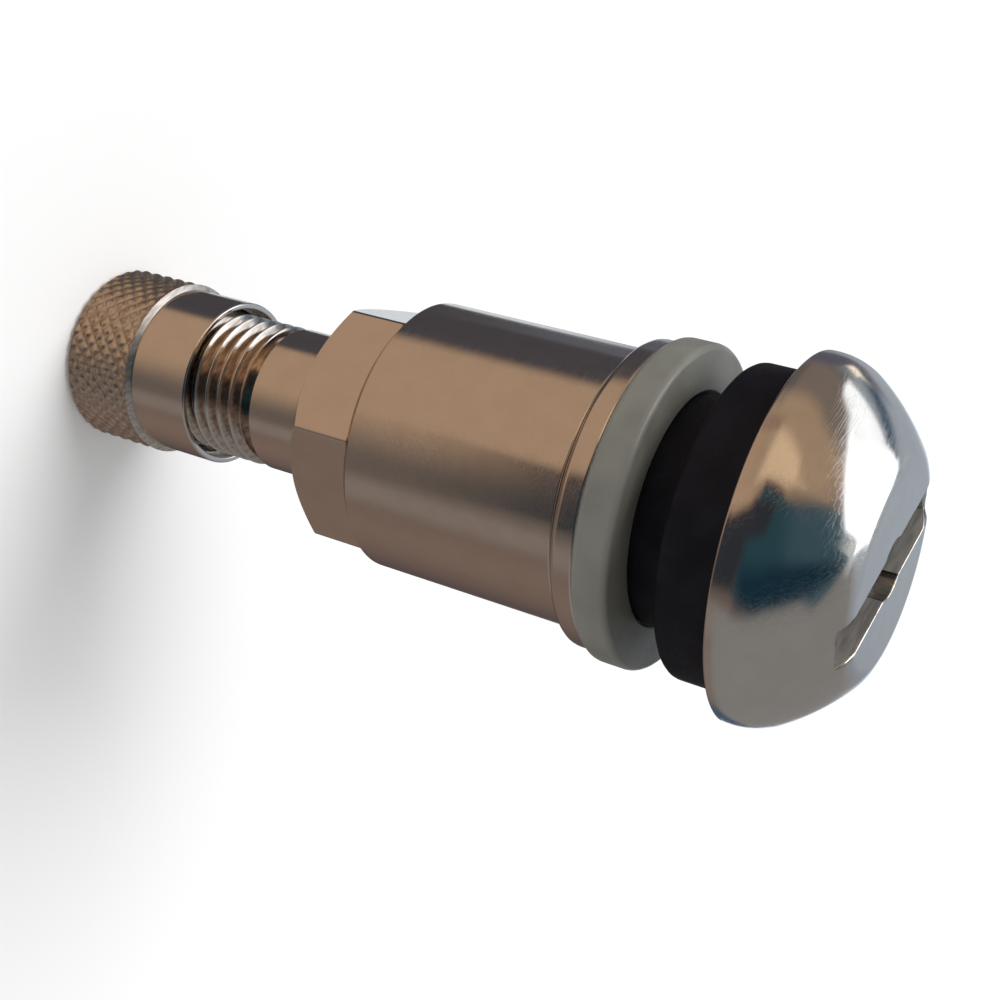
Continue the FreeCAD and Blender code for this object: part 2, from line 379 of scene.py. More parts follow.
def slot_runs():
    """Runs of azimuths along the slot's outline, each with its wall's normal."""
    runs = []
    for half in (0, math.pi):
        end = -math.cos(half)
        breaks = (
            (-slot_corner_azimuth, slot_corner_azimuth, slot_end_steps, (end, 0, 0)),
            (slot_corner_azimuth, bore_corner_azimuth, slot_side_steps, (0, end, 0)),
            (bore_corner_azimuth, math.pi - bore_corner_azimuth, slot_bore_steps, None),
            (math.pi - bore_corner_azimuth, math.pi - slot_corner_azimuth, slot_side_steps,
             (0, end, 0)),
        )
        for low, high, steps, wall in breaks:
            runs.append((np.linspace(low, high, steps + 1) + half, wall))
    return runs


def slot_azimuths():
    """The azimuths of all runs, as one turn."""
    return np.concatenate([run[:-1] for run, wall in slot_runs()]
                          + [[2 * math.pi - slot_corner_azimuth]])


def slot_outline(azimuths, offset):
    """Radius of the slot's edge, with the bore that crosses it, moved out by an offset."""
    across = np.maximum(np.abs(np.cos(azimuths)), 1e-9)
    along = np.maximum(np.abs(np.sin(azimuths)), 1e-9)
    box = np.minimum((slot_half_length + offset) / across, (slot_half_width + offset) / along)
    return np.maximum(box, air_bore_radius + offset)


def foot_section():
    """Rows over the foot's arcs, from its rim to the flat top."""
    radius, z = foot_radius, foot_rim_z
    rows = []
    for arc, start, end in foot_arcs:
        steps = round((start - end) / foot_arc_step) + 2
        slopes = np.radians(np.linspace(start, end, steps + 1))
        for slope in slopes:
            rows.append((
                radius + arc * (math.sin(slope) - math.sin(slopes[0])),
                z + arc * (math.cos(slope) - math.cos(slopes[0])),
                math.sin(slope), math.cos(slope)))
        radius, z = rows[-1][:2]
    return rows


def foot_top(rows, radius):
    """Height of the foot at these radii, and its normal's parts outwards and upwards."""
    outwards = np.array(rows)[::-1]
    return [np.interp(radius, outwards[:, 0], outwards[:, part]) for part in (1, 2, 3)]


def split_row(rows):
    """The last row of the plain turned dome, just outside the slot's worn ends."""
    reach = slot_half_length + 2 * slot_end_wear
    return max(index for index, row in enumerate(rows) if row[0] > reach)


def slot_edge_width(azimuths):
    """The mill left an uneven edge, so its bevel swells and narrows along the slot.

    At the slot's two ends the edge is worn much rounder.
    """
    uneven = sum(size * np.sin(count * azimuths + phase)
                 for count, phase, size in slot_edge_waves)
    from_end = np.abs((azimuths + math.pi / 2) % math.pi - math.pi / 2)
    wear_reach = slot_end_wear_share * slot_corner_azimuth
    worn = np.clip((slot_corner_azimuth - from_end) / wear_reach, 0, 1)
    return slot_edge * (1 + uneven) + slot_end_wear * worn


def foot_top_patch(skin, rows, azimuths):
    """The middle of the foot, from just outside the slot in to its edge."""
    flat_rows = np.linspace(rows[-1][0], air_bore_radius, flat_top_rows + 1)[1:]
    radii = np.array([row[0] for row in rows[split_row(rows):]] + list(flat_rows))
    edge = slot_outline(azimuths, slot_edge_width(azimuths))
    radius = np.maximum(radii[:, None], edge)
    z, lean, rise = foot_top(rows, radius)
    out = radial(azimuths)
    skin.patch(radius[..., None] * out + z[..., None] * up,
               lean[..., None] * out + rise[..., None] * up)


def slot_walls(skin, rows):
    """Bevelled edge, wall and rounded foot of the slot, run by run."""
    floor_z = rows[-1][1] - slot_depth
    bends = np.radians([0, 30, 60, 90])
    for azimuths, wall in slot_runs():
        out = radial(azimuths)
        wall_normal = -out if wall is None else np.broadcast_to(wall, out.shape)
        width = slot_edge_width(azimuths)
        wall_radius = slot_outline(azimuths, 0)
        edge_radius = slot_outline(azimuths, width)
        edge_z, lean, rise = foot_top(rows, edge_radius)
        dome_normal = lean[:, None] * out + rise[:, None] * up
        room = np.minimum(slot_corner, (wall_radius - air_bore_radius) / 2)
        points, normals = [], []
        for bend in bends:
            radius = wall_radius + (edge_radius - wall_radius) * (1 - math.sin(bend))
            z = edge_z - width * (1 - math.cos(bend))
            points.append(radius[:, None] * out + z[:, None] * up)
            normals.append(math.cos(bend) * dome_normal + math.sin(bend) * wall_normal)
        for bend in bends:
            radius = wall_radius - room * (1 - math.cos(bend))
            z = floor_z + room * (1 - math.sin(bend))
            points.append(radius[:, None] * out + z[:, None] * up)
            normals.append(math.cos(bend) * wall_normal + math.sin(bend) * up)
        points.append(air_bore_radius * out + floor_z * up)
        normals.append(np.broadcast_to(up, out.shape))
        skin.patch(np.array(points), np.array(normals))
    return floor_z


def stem(material):
    skin = Skin()
    azimuths = slot_azimuths()
    foot_rows = foot_section()
    foot_top_patch(skin, foot_rows, azimuths)
    floor_z = slot_walls(skin, foot_rows)
    skin.turn(section([
        (air_bore_radius, floor_z),
        (air_bore_radius, chamber_end_z + chamber_radius - air_bore_radius),
        (chamber_radius, chamber_end_z),
        (chamber_radius, chamber_z),
        (seat_radius, seat_z),
        (seat_radius, core_hole_end_z),
        (core_hole_radius, core_hole_end_z),
        (core_hole_radius, mouth_z, mouth_fillet),
        (mouth_edge_radius, mouth_z),
    ]), azimuths)
    out = radial(azimuths)
    thread_end = thread(skin, azimuths, mouth_z, thread_end_z, thread_pitch, thread_radius,
                        thread_root, cone_limit(mouth_edge_radius, mouth_z))[1]
    skin.patch(np.array([thread_end, thread_root * out + thread_end_z * up]), up)
    skin.turn(section([
        (thread_root, thread_end_z),
        (thread_root, neck_z, neck_root_fillet),
        (thread_radius, neck_z, neck_fillet),
        (thread_radius, shank_cone_z),
        (shank_root, shank_cone_z + shank_root - thread_radius),
    ]), azimuths)
    shank_end = thread(skin, azimuths, shank_cone_z + shank_root - thread_radius,
                       shank_thread_end_z, shank_pitch, shank_radius, shank_root,
                       cone_limit(thread_radius, shank_cone_z))[1]
    skin.patch(np.array([shank_end, shank_radius * out + shank_thread_end_z * up]), -up)
    skin.turn(section([
        (shank_radius, shank_thread_end_z),
        (shank_radius, foot_z),
        (foot_radius, foot_z, foot_edge),
        (foot_radius, foot_rim_z),
    ]), azimuths)
    skin.turn(foot_rows[:split_row(foot_rows) + 1], azimuths)
    return skin.piece("stem_metal", material)


# The rings between the nut and the foot

def grommet(material):
    skin = Skin()
    skin.turn(ring([
        (grommet_bore_radius, foot_z, grommet_bore_fillet),
        (grommet_bore_radius, spigot_end_z, spigot_bore_fillet),
        (spigot_radius, spigot_end_z, spigot_fillet),
        (spigot_radius, rim_seat_z, rim_seat_fillet),
        (grommet_radius, rim_seat_z, grommet_corner),
        (grommet_radius, foot_z, grommet_back_fillet),
    ]), around(ring_steps))
    return skin.piece("grommet_rubber", material)


def washer(material):
    skin = Skin()
    skin.turn(ring([
        (washer_bore_radius, washer_face_z, washer_bore_fillet),
        (washer_bore_radius, washer_z, washer_bore_fillet),
        (washer_radius, washer_z, washer_corner),
        (washer_radius, washer_face_z, washer_corner),
    ]), around(ring_steps))
    return skin.piece("washer_nylon", material)


# The nut

def hex_outline():
    """Points and normals round the hexagon, with its corners rounded."""
    points, normals = [], []
    corner_reach = hex_half_flats / math.cos(math.pi / 6)
    centre_reach = corner_reach - hex_corner / math.cos(math.pi / 6)
    for corner in range(6):
        middle = math.radians(60 * corner + 30 + hex_turn)
        centre = centre_reach * radial(middle)
        turns = middle + np.radians(np.linspace(-30, 30, hex_corner_steps + 1))
        arc = centre + hex_corner * radial(turns)
        points += list(arc)
        normals += list(radial(turns))
        next_centre = centre_reach * radial(middle + math.pi / 3)
        flat_normal = radial(middle + math.pi / 6)
        for step in range(1, hex_flat_steps):
            share = step / hex_flat_steps
            points.append(centre * (1 - share) + next_centre * share
                          + hex_corner * flat_normal)
            normals.append(flat_normal)
    return np.array(points + points[:1]), np.array(normals + normals[:1])


def nut(material):
    skin = Skin()
    outline, outline_normals = hex_outline()
    azimuths = np.unwrap(np.arctan2(outline[:, 1], outline[:, 0]))
    out = radial(azimuths)
    reach = np.linalg.norm(outline, axis=1)
    skin.turn(section([
        (nut_bore_radius, nut_face_z),
        (nut_bore_radius, nut_lip_z + nut_bore_radius - nut_lip_radius),
        (nut_lip_radius, nut_lip_z),
        (nut_lip_radius, nut_z + nut_lip_chamfer),
        (nut_lip_radius + nut_lip_chamfer, nut_z),
        (hex_chamfer_radius, nut_z),
    ]), azimuths)
    cone_z = nut_z + (reach - hex_chamfer_radius) * hex_chamfer_slope
    cone_start = hex_chamfer_radius * out + nut_z * up
    cone_end = outline + cone_z[:, None] * up
    cone_normal = (hex_chamfer_slope * out - up) / math.hypot(1, hex_chamfer_slope)
    skin.patch(np.array([cone_start, cone_end]), cone_normal)
    chamfer_radius = sleeve_radius - sleeve_chamfer
    shelf_z = sleeve_z + np.maximum(reach - chamfer_radius, 0)
    flat_end = outline + shelf_z[:, None] * up
    skin.patch(np.array([cone_end, flat_end]), outline_normals)
    shelf_radius = np.maximum(reach, chamfer_radius)
    shelf_end = shelf_radius[:, None] * out + shelf_z[:, None] * up
    skin.patch(np.array([flat_end, shelf_end]), -up)
    chamfer_end = sleeve_radius * out + (sleeve_z + sleeve_chamfer) * up
    skin.patch(np.array([shelf_end, chamfer_end]), (out - up) / math.sqrt(2))
    skin.turn(section([
        (sleeve_radius, sleeve_z + sleeve_chamfer),
        (sleeve_radius, groove_z, groove_entry),
        (sleeve_radius - groove_depth, groove_z, groove_corner),
        (sleeve_radius - groove_depth, nut_flange_z, groove_corner),
        (nut_flange_radius, nut_flange_z, nut_edge),
        (nut_flange_radius, nut_face_z, nut_face_edge),
        (nut_bore_radius, nut_face_z),
    ]), azimuths)
    return skin.piece("nut_metal", material)


# The cap

def knurl_height(index, row):
    """Height of the knurl, 0 in the grooves and 1 on the flats that cap the diamonds."""
    one = (index + row) / 2
    other = (index - row) / 2
    depth = np.maximum(np.abs(one - np.round(one)), np.abs(other - np.round(other)))
    rise = np.minimum((1 - 2 * depth) / knurl_flat, 1)
    rounded = rise * rise * (3 - 2 * rise)
    return rounded * knurl_round_share + rise * (1 - knurl_round_share)


def cap_head(skin, azimuths):
    """Knurled head, its bevel at the closed end and its chamfer down to the skirt."""
    row_height = (knurl_high_z - knurl_low_z) / knurl_rows
    step = row_height / knurl_steps
    z = np.unique(np.round(np.concatenate([
        np.arange(0, head_end_z, step), [knurl_low_z, knurl_high_z, head_end_z]]), 6))
    index = azimuths * knurl_count / math.pi
    height = knurl_height(index[None, :], (z[:, None] - knurl_low_z) / row_height)
    fade = np.clip((knurl_high_z - z) / knurl_fade, 0, 1)[:, None]
    radius = head_radius - knurl_depth * fade * (1 - height)
    bevel = head_radius - knurl_low_z + z[:, None]
    slope = (head_radius - cap_skirt_radius) / (head_end_z - knurl_high_z)
    chamfer = head_radius - (z[:, None] - knurl_high_z) * slope
    radius = np.minimum(radius, np.minimum(bevel, chamfer))
    points = radius[..., None] * radial(azimuths) + z[:, None, None] * up
    skin.patch(points, grid_normals(points))


def cap(material):
    skin = Skin()
    azimuths = around(2 * knurl_count * knurl_steps)
    end_radius = head_radius - knurl_low_z
    skin.turn([(0, 0, 0, -1), (end_radius, 0, 0, -1)], azimuths)
    cap_head(skin, azimuths)
    skin.turn(section([
        (cap_skirt_radius, head_end_z),
        (cap_skirt_radius, cap_mouth_z, cap_lip_edge),
        (cap_recess_radius, cap_mouth_z, cap_lip_edge),
        (cap_recess_radius, cap_recess_z),
    ]), azimuths)
    thread_low, thread_high = thread(skin, azimuths, cap_thread_z, cap_recess_z, thread_pitch,
                                     cap_bore_radius, cap_bore_root)
    out = radial(azimuths)
    skin.patch(np.array([cap_recess_radius * out + cap_recess_z * up, thread_high]), up)
    skin.patch(np.array([thread_low, cap_bore_radius * out + cap_thread_z * up]), up)
    skin.turn(section([
        (cap_bore_radius, cap_thread_z),
        (cap_bore_radius, cap_end_wall),
        (0, cap_end_wall),
    ]), azimuths)
    return skin.piece("cap_metal", material)


def cap_seal(material):
    skin = Skin()
    radius = cap_bore_radius - cap_seal_gap
    skin.turn(section([
        (0, cap_end_wall),
        (radius, cap_end_wall, cap_seal_fillet),
        (radius, cap_seal_z, cap_seal_fillet),
        (0, cap_seal_z),
    ]), around(cap_seal_steps))
    return skin.piece("cap_seal_rubber", material)


def core_spring(material):
    """Helical wire between the pin's collar and the barrel's guide."""
    skin = Skin()
    length = spring_high_z - spring_low_z - spring_wire
    along = np.linspace(0, 1, spring_turn_steps * spring_turns + 1)
    turned = 2 * np.pi * spring_turns * along
    out = radial(turned)
    centre = spring_radius * out + (spring_low_z + spring_wire / 2 + length * along)[:, None] * up
    sides = around(wire_sides)
    normals = (np.cos(sides)[:, None, None] * out + np.sin(sides)[:, None, None] * up)
    points = centre + spring_wire / 2 * normals
    skin.patch(points, normals)
    for end, side in ((0, 1), (-1, -1)):
        rim = points[::side, end]
        hub = np.broadcast_to(centre[end], rim.shape)
        skin.patch(np.array([rim, hub]), -side * np.cross(up, out[end]))
    return skin.piece("core_spring_wire", material)


# Materials

def linear(red, green, blue):
    """A colour given as it looks on screen, 0 to 255, in the renderer's own scale."""
    return tuple((part / 255 / 12.92) if part < 11 else ((part / 255 + 0.055) / 1.055) ** 2.4
                 for part in (red, green, blue))


class Finish:
    """A procedural material. Its patterns lie in the piece's own space, in millimetres."""

    def __init__(self, name):
        self.material = bpy.data.materials.new(name)
        self.material.use_nodes = True
        self.nodes = self.material.node_tree.nodes
        self.links = self.material.node_tree.links
        self.shader = self.nodes["Principled BSDF"]
        place = self.nodes.new("ShaderNodeTexCoord").outputs["Object"]
        self.place = self.node("ShaderNodeMapping", Vector=place,
                               Scale=[1 / millimetre] * 3).outputs[0]

    def node(self, kind, settings=(), **inputs):
        made = self.nodes.new(kind)
        for key, value in dict(settings).items():
            setattr(made, key, value)
        for key, value in inputs.items():
            socket = made.inputs[int(key[1:]) if key[0] == "_" else key.replace("_", " ")]
            if isinstance(value, bpy.types.NodeSocket):
                self.links.new(value, socket)
            else:
                socket.default_value = value
        return made

    def noise(self, scale, stretch=(1, 1, 1), turned=(0, 0, 0), detail=3.0):
        """Noise with this many grains to a millimetre, stretched along the axes."""
        place = self.node("ShaderNodeMapping", Vector=self.place, Scale=stretch,
                          Rotation=[math.radians(angle) for angle in turned]).outputs[0]
        return self.node("ShaderNodeTexNoise", Vector=place, Scale=scale,
                         Detail=detail).outputs["Fac"]

    def spread(self, value, low, high, start=0.0, end=1.0):
        """Maps a value from one range to another and holds it inside."""
        return self.node("ShaderNodeMapRange", Value=value, From_Min=low, From_Max=high,
                         To_Min=start, To_Max=end).outputs[0]

    def math(self, operation, first, second):
        return self.node("ShaderNodeMath", {"operation": operation}, _0=first,
                         _1=second).outputs[0]

    def mix(self, share, first, second):
        """Mix of two colours, each a tuple or another node's output."""
        first, second = (colour if isinstance(colour, bpy.types.NodeSocket)
                         else (*colour, 1) for colour in (first, second))
        return self.node("ShaderNodeMix", {"data_type": "RGBA"}, _0=share, _6=first,
                         _7=second).outputs[2]

    def axis_distance(self):
        """Distance from the valve's axis, and height along it, in millimetres."""
        parts = self.node("ShaderNodeSeparateXYZ", Vector=self.place).outputs
        flat = self.node("ShaderNodeCombineXYZ", X=parts["X"], Y=parts["Y"]).outputs[0]
        length = self.node("ShaderNodeVectorMath", {"operation": "LENGTH"}, _0=flat)
        return length.outputs["Value"], parts["Z"]

    def mottled(self, grains, first, second, detail=3.0):
        """Two colours that run into each other in soft patches."""
        return self.mix(self.spread(self.noise(grains, detail=detail), 0.35, 0.7),
                        first, second)

    def uneven(self, grains, smooth, rough):
        """Roughness that wanders between two values."""
        return self.spread(self.noise(grains), 0.3, 0.7, smooth, rough)

    def inside(self, value, low, high):
        """1 where the value lies between two limits, and 0 elsewhere."""
        above = self.math("GREATER_THAN", value, low)
        return self.math("MULTIPLY", above, self.math("LESS_THAN", value, high))

    def scratches(self, turned, share):
        """Fine straight marks: the thin middle line of noise drawn out along one way."""
        lines = self.noise(1.0, (0.12, 4.0, 4.0), turned, 1.0)
        off = self.math("ABSOLUTE", self.math("SUBTRACT", lines, 0.5), 0.0)
        return self.spread(off, share, 0.0)

    def bump(self, *heights):
        """Bump from heights, each with its size in millimetres."""
        normal = None
        for height, size in heights:
            made = self.node("ShaderNodeBump", Height=height, Strength=1.0,
                             Distance=size * millimetre)
            if normal:
                self.links.new(normal, made.inputs["Normal"])
            normal = made.outputs[0]
        self.links.new(normal, self.shader.inputs["Normal"])

    def set(self, **values):
        for key, value in values.items():
            socket = self.shader.inputs[key.replace("_", " ")]
            if isinstance(value, bpy.types.NodeSocket):
                self.links.new(value, socket)
            else:
                socket.default_value = value


plate_colour = (0.80, 0.765, 0.72)
plate_worn_colour = (0.76, 0.72, 0.665)
plate_smooth, plate_rough = 0.08, 0.14
scratch_roughness = 0.06
turning_depth = 0.00025
scratch_depth = 0.0006
streak_shade = 0.7

# Where the plate is dull or darkened with painted shade: how deep a thread's flank is fully
# darkened, the bright band that is left at an edge, and how far a dull or shaded part ends from
# the faces beside it
painted_shade_flank_depth = 0.14
bright_band = 0.02
neck_gap = 0.10
shoulder_gap = 0.04
skirt_gap = 0.01


def slot_part(finish):
    """Share of the slot's walls and floor in each place."""
    parts = finish.node("ShaderNodeSeparateXYZ", Vector=finish.place).outputs
    along = finish.inside(parts["X"], -slot_half_length - weld_distance,
                          slot_half_length + weld_distance)
    across = finish.inside(parts["Y"], -slot_half_width - weld_distance,
                           slot_half_width + weld_distance)
    foot = finish.math("GREATER_THAN", parts["Z"], foot_rim_z)
    return finish.math("MULTIPLY", foot, finish.math("MULTIPLY", along, across))


def cap_thread_painted_shade(finish):
    """Share of the flanks and roots of the cap thread, darkened with painted shade for the shade
    between its turns.
    """
    radius, z = finish.axis_distance()
    flanks = finish.spread(radius, thread_radius - painted_shade_flank_depth,
                           thread_radius - bright_band, 1.0, 0.0)
    return finish.math("MULTIPLY", flanks, finish.math("LESS_THAN", z, neck_z - neck_gap))


def groove_painted_shade(finish):
    """Share of the groove beside the nut's flange, and of the bore behind it, darkened with
    painted shade for the shade in the groove.
    """
    radius, z = finish.axis_distance()
    groove = finish.spread(radius, sleeve_radius - groove_depth,
                           sleeve_radius - bright_band, 1.0, 0.0)
    return finish.math("MULTIPLY", groove, finish.math("GREATER_THAN", z, groove_z))


def shoulder_painted_shade(finish):
    """Share of the sleeve's first edge against the hexagon, darkened with painted shade for the
    shade in that corner.
    """
    radius, z = finish.axis_distance()
    raised = finish.inside(z, sleeve_z - shoulder_gap, sleeve_z + sleeve_chamfer - bright_band)
    return finish.math("MULTIPLY", raised, finish.math("GREATER_THAN", radius, nut_bore_radius))


def knurl_part(finish):
    """Share of the knurled head, which its tool left rough, and of the cap's inside."""
    radius, z = finish.axis_distance()
    outside = finish.math("GREATER_THAN", radius, cap_skirt_radius + skirt_gap)
    knurl = finish.math("MULTIPLY", outside, finish.math("LESS_THAN", z, head_end_z))
    return finish.math("MAXIMUM", knurl, finish.math("LESS_THAN", radius, cap_recess_radius))


def plated_brass(name, dull_and_shaded_parts, ripple=0.003):
    """Nickel plate on turned brass: turning lines, a soft ripple and fine scratches.

    Each dull part, and each part darkened with painted shade, has the function that gives its
    place, its colour, its roughness and how metallic it is.
    """
    finish = Finish(name)
    turning_lines = finish.noise(1.0, (0.05, 0.05, 7.0), detail=2.0)
    ripples = finish.noise(0.55, detail=1.0)
    grain = finish.noise(9.0, detail=2.0)
    marks = finish.math("MAXIMUM", finish.scratches((20, 35, 10), 0.010),
                        finish.scratches((70, -25, 50), 0.008))
    colour = finish.mix(finish.spread(finish.noise(0.8), 0.35, 0.75),
                        plate_colour, plate_worn_colour)
    roughness = finish.math("ADD", finish.spread(grain, 0.3, 0.7, plate_smooth, plate_rough),
                            finish.math("MULTIPLY", marks, scratch_roughness))
    streaks = finish.spread(finish.noise(1.0, (0.7, 5.0, 5.0), detail=2.0), 0.42, 0.62)
    metallic = 1.0
    # Some of these parts carry painted shade: darker colours that stand in for shade in grooves
    # and corners.
    for place_part, part_colour, part_roughness, part_metallic in dull_and_shaded_parts:
        share = place_part(finish)
        streaked = finish.mix(streaks, part_colour, [part * streak_shade for part in part_colour])
        colour = finish.mix(share, colour, streaked)
        roughness = finish.spread(share, 0.0, 1.0, roughness, part_roughness)
        if part_metallic < 1:
            metallic = finish.spread(share, 0.0, 1.0, metallic, part_metallic)
    finish.set(Metallic=metallic, Base_Color=colour, Roughness=roughness)
    finish.bump((ripples, ripple), (turning_lines, turning_depth), (marks, -scratch_depth))
    return finish.material


def core_brass():
    finish = Finish("core_brass")
    lines = finish.noise(1.0, (0.05, 0.05, 12.0), detail=2.0)
    finish.set(
        Metallic=1.0,
        Base_Color=finish.mottled(1.5, (0.80, 0.58, 0.26), (0.62, 0.42, 0.17)),
        Roughness=finish.uneven(6.0, 0.2, 0.34),
    )
    finish.bump((lines, 0.0015))
    return finish.material


def spring_steel():
    finish = Finish("spring_steel")
    finish.set(
        Metallic=1.0,
        Base_Color=finish.mottled(2.0, (0.50, 0.50, 0.51), (0.38, 0.38, 0.39)),
        Roughness=finish.uneven(8.0, 0.25, 0.4),
    )
    finish.bump((finish.noise(20.0), 0.001))
    return finish.material


def rubber(name, light, dark):
    """Moulded rubber: a fine grain, faint flow marks and a slight bloom."""
    finish = Finish(name)
    finish.set(
        Base_Color=finish.mottled(0.7, dark, light, detail=4.0),
        Roughness=finish.uneven(5.0, 0.50, 0.68),
        Specular_IOR_Level=0.20,
    )
    finish.bump((finish.noise(14.0), 0.006), (finish.noise(0.9, detail=1.0), 0.02))
    return finish.material


def gasket_plastic():
    finish = Finish("gasket_plastic")
    finish.set(
        Base_Color=finish.mottled(1.2, (0.80, 0.80, 0.78), (0.70, 0.70, 0.67)),
        Roughness=finish.uneven(6.0, 0.32, 0.45),
    )
    finish.bump((finish.noise(10.0), 0.002))
    return finish.material


def nylon():
    """Milky nylon, through which the dark spigot behind it shows a little."""
    finish = Finish("nylon")
    finish.set(
        Base_Color=finish.mottled(0.45, linear(154, 153, 143), linear(138, 136, 127)),
        Roughness=finish.uneven(3.0, 0.30, 0.42),
        Transmission_Weight=0.42,
        IOR=1.52,
    )
    finish.bump((finish.noise(1.2, detail=1.0), 0.010))
    return finish.material


# Studio

def emission(name, layer):
    """A glow with the colours of a mesh's own colour layer, which lights nothing itself."""
    material = bpy.data.materials.new(name)
    material.use_nodes = True
    nodes, links = material.node_tree.nodes, material.node_tree.links
    nodes.clear()
    glow = nodes.new("ShaderNodeEmission")
    attribute = nodes.new("ShaderNodeVertexColor")
    attribute.layer_name = layer
    output = nodes.new("ShaderNodeOutputMaterial")
    links.new(attribute.outputs["Color"], glow.inputs["Color"])
    links.new(glow.outputs[0], output.inputs["Surface"])
    material.cycles.emission_sampling = "NONE"
    return material


# What stands round the valve, as it looks in the metal. Each card has its corners in
# azimuth and elevation, how soft its edge is, in degrees, and its colour on screen, where
# more than 255 is brighter than white. A card covers the ones before it.
room_radius = 0.6
room_columns, room_rows = 360, 180
room_colour = (115, 95, 84)
room_cards = {
    "low shade": (((92, -130), (290, -130), (290, 60), (92, 60)), 90, (62, 56, 55)),
    "dark side": (((176, -120), (250, -120), (250, -6), (176, -6)), 12, (66, 62, 64)),
    "bright edge": (((143, -60), (149, -60), (167, -20), (150, -20)), 9, (204, 204, 203)),
    "tan side": (((234, -120), (366, -120), (366, 8), (234, 8)), 14, (159, 130, 105)),
    "soft shade": (((326, -150), (385, -150), (385, 30), (326, 30)), 46, (96, 84, 76)),
    "far side": (((3, -120), (24, -120), (24, 8), (3, 8)), 14, (121, 107, 98)),
    "grey wall": (((4, -13), (122, -13), (122, 95), (14, 95)), 14, (121, 117, 113)),
    "pale wall": (((124, -16), (182, -16), (205, 95), (118, 95)), 30, (149, 154, 159)),
    "brown wall": (((188, -14), (250, -14), (250, 70), (200, 40)), 12, (110, 97, 88)),
    "tan wall": (((226, -14), (291, -14), (291, 46), (262, 68), (226, 62)), 16,
     (150, 125, 101)),
    "sunlit wall": (((254, 2), (287, 2), (281, 42), (270, 54), (260, 42)), 12,
     (198, 168, 134)),
    "shaded wall": (((246, -16), (257, -16), (255, 1), (246, 1)), 8, (132, 106, 87)),
    "red edge": (((286, 14), (293, 14), (292, 38), (284, 46)), 6, (104, 62, 52)),
    "blue corner": (((78, -16), (112, -16), (112, -4), (100, -6)), 6, (66, 78, 92)),
    "pale glow": (((128, -12), (148, -12), (148, 5), (122, 5)), 10, (196, 203, 207)),
    "bright spot": (((112, -16), (126, -16), (126, -3), (113, -3)), 5, (248, 250, 252)),
    "teal card": (((287, 16), (352, 8), (368, 40), (386, 95), (287, 95)), 8, (36, 62, 69)),
    "teal top": (((236, 78), (287, 57), (396, 66), (396, 95), (236, 95)), 8, (52, 72, 80)),
    "teal in shade": (((338, 14), (360, 14), (372, 50), (382, 88), (338, 80)), 22,
     (18, 40, 52)),
    "dark card": (((313, -24), (299, 14), (330, 14), (352, 8), (353, -24)), 10, (41, 43, 47)),
    "dark card's top": (((299, 10), (293, 42), (316, 36), (322, 10)), 10, (41, 43, 47)),
    "ceiling": (((50, 84), (292, 84), (292, 100), (50, 100)), 8, (184, 185, 183)),
    "bright card": (((139, 48), (148, 39), (207, 38), (250, 80), (150, 86)), 4,
     (313, 313, 313)),
    "bright card's foot": (((182, 44), (190, 16), (197, 20), (212, 48)), 4, (255, 255, 255)),
    "bright card's shade": (((148, 38), (178, 40), (178, 36), (148, 33)), 3,
     (128, 138, 148)),
    "blue shade": (((177, 38), (184, 38), (179, 14), (172, 14)), 6, (58, 74, 92)),
    "dark edge": (((168, 13), (174, 14), (190, -2), (186, -22), (164, -22)), 8, (84, 80, 88)),
    "lamp": (((175, 3), (181, 3), (182, 13), (176, 13)), 4, (252, 240, 214)),
    "under the valve": (((-400, -130), (760, -130), (760, -62), (-400, -62)), 30, (92, 74, 62)),
}


def card_share(azimuth, elevation, corners, soft):
    """How far each direction lies inside a card with straight edges, from 0 to 1."""
    corners = np.array(corners, float)
    middle = corners.mean(0)
    across = (azimuth - middle[0] + 180) % 360 - 180
    spot = np.stack([across, elevation - middle[1]], -1)
    depth = np.full(len(azimuth), np.inf)
    for corner, after in zip(corners - middle, np.roll(corners, -1, 0) - middle):
        way = (after - corner) / np.linalg.norm(after - corner)
        inward = np.array([-way[1], way[0]])
        inward *= -np.sign(inward @ corner)
        depth = np.minimum(depth, (spot - corner) @ inward)
    share = np.clip(depth / soft + 0.5, 0, 1)
    return share * share * (3 - 2 * share)


def room_colours(directions):
    """Colour of the room in each of these directions, before the metal tints it."""
    azimuth = np.degrees(np.arctan2(directions[:, 1], directions[:, 0]))
    elevation = np.degrees(np.arcsin(np.clip(directions[:, 2], -1, 1)))
    colours = np.tile(linear(*room_colour), (len(directions), 1))
    for corners, soft, colour in room_cards.values():
        share = card_share(azimuth, elevation, corners, soft)[:, None]
        colours = colours * (1 - share) + share * np.array(linear(*colour))
    return colours / np.array(plate_colour)


def room():
    """A surround of soft cards, which polished metal needs to show its shape.

    Only reflections and the view through the washer see it. It neither lights the valve
    nor hides the floor.
    """
    azimuths = around(room_columns)[:-1]
    slopes = np.linspace(-np.pi / 2, np.pi / 2, room_rows + 1)
    directions = (np.cos(slopes)[:, None, None] * radial(azimuths)
                  + np.sin(slopes)[:, None, None] * up).reshape(-1, 3)
    index = np.arange(len(directions)).reshape(room_rows + 1, room_columns)
    after = np.roll(index, -1, 1)
    faces = np.stack([index[:-1], index[1:], after[1:], after[:-1]], -1).reshape(-1, 4)
    mesh = bpy.data.meshes.new("room_cards")
    mesh.from_pydata((directions * room_radius).tolist(), [], faces.tolist())
    colours = mesh.color_attributes.new("glow", "FLOAT_COLOR", "POINT")
    glow = np.concatenate([room_colours(directions), np.ones((len(directions), 1))], 1)
    colours.data.foreach_set("color", glow.astype(np.float32).reshape(-1))
    mesh.materials.append(emission("room_cards", "glow"))
    cards = bpy.data.objects.new("room_cards", mesh)
    bpy.context.scene.collection.objects.link(cards)
    cards.visible_camera = False
    cards.visible_diffuse = False
    cards.visible_volume_scatter = False
    cards.visible_shadow = False


floor_half_size = 2.0
floor_shade = 0.97


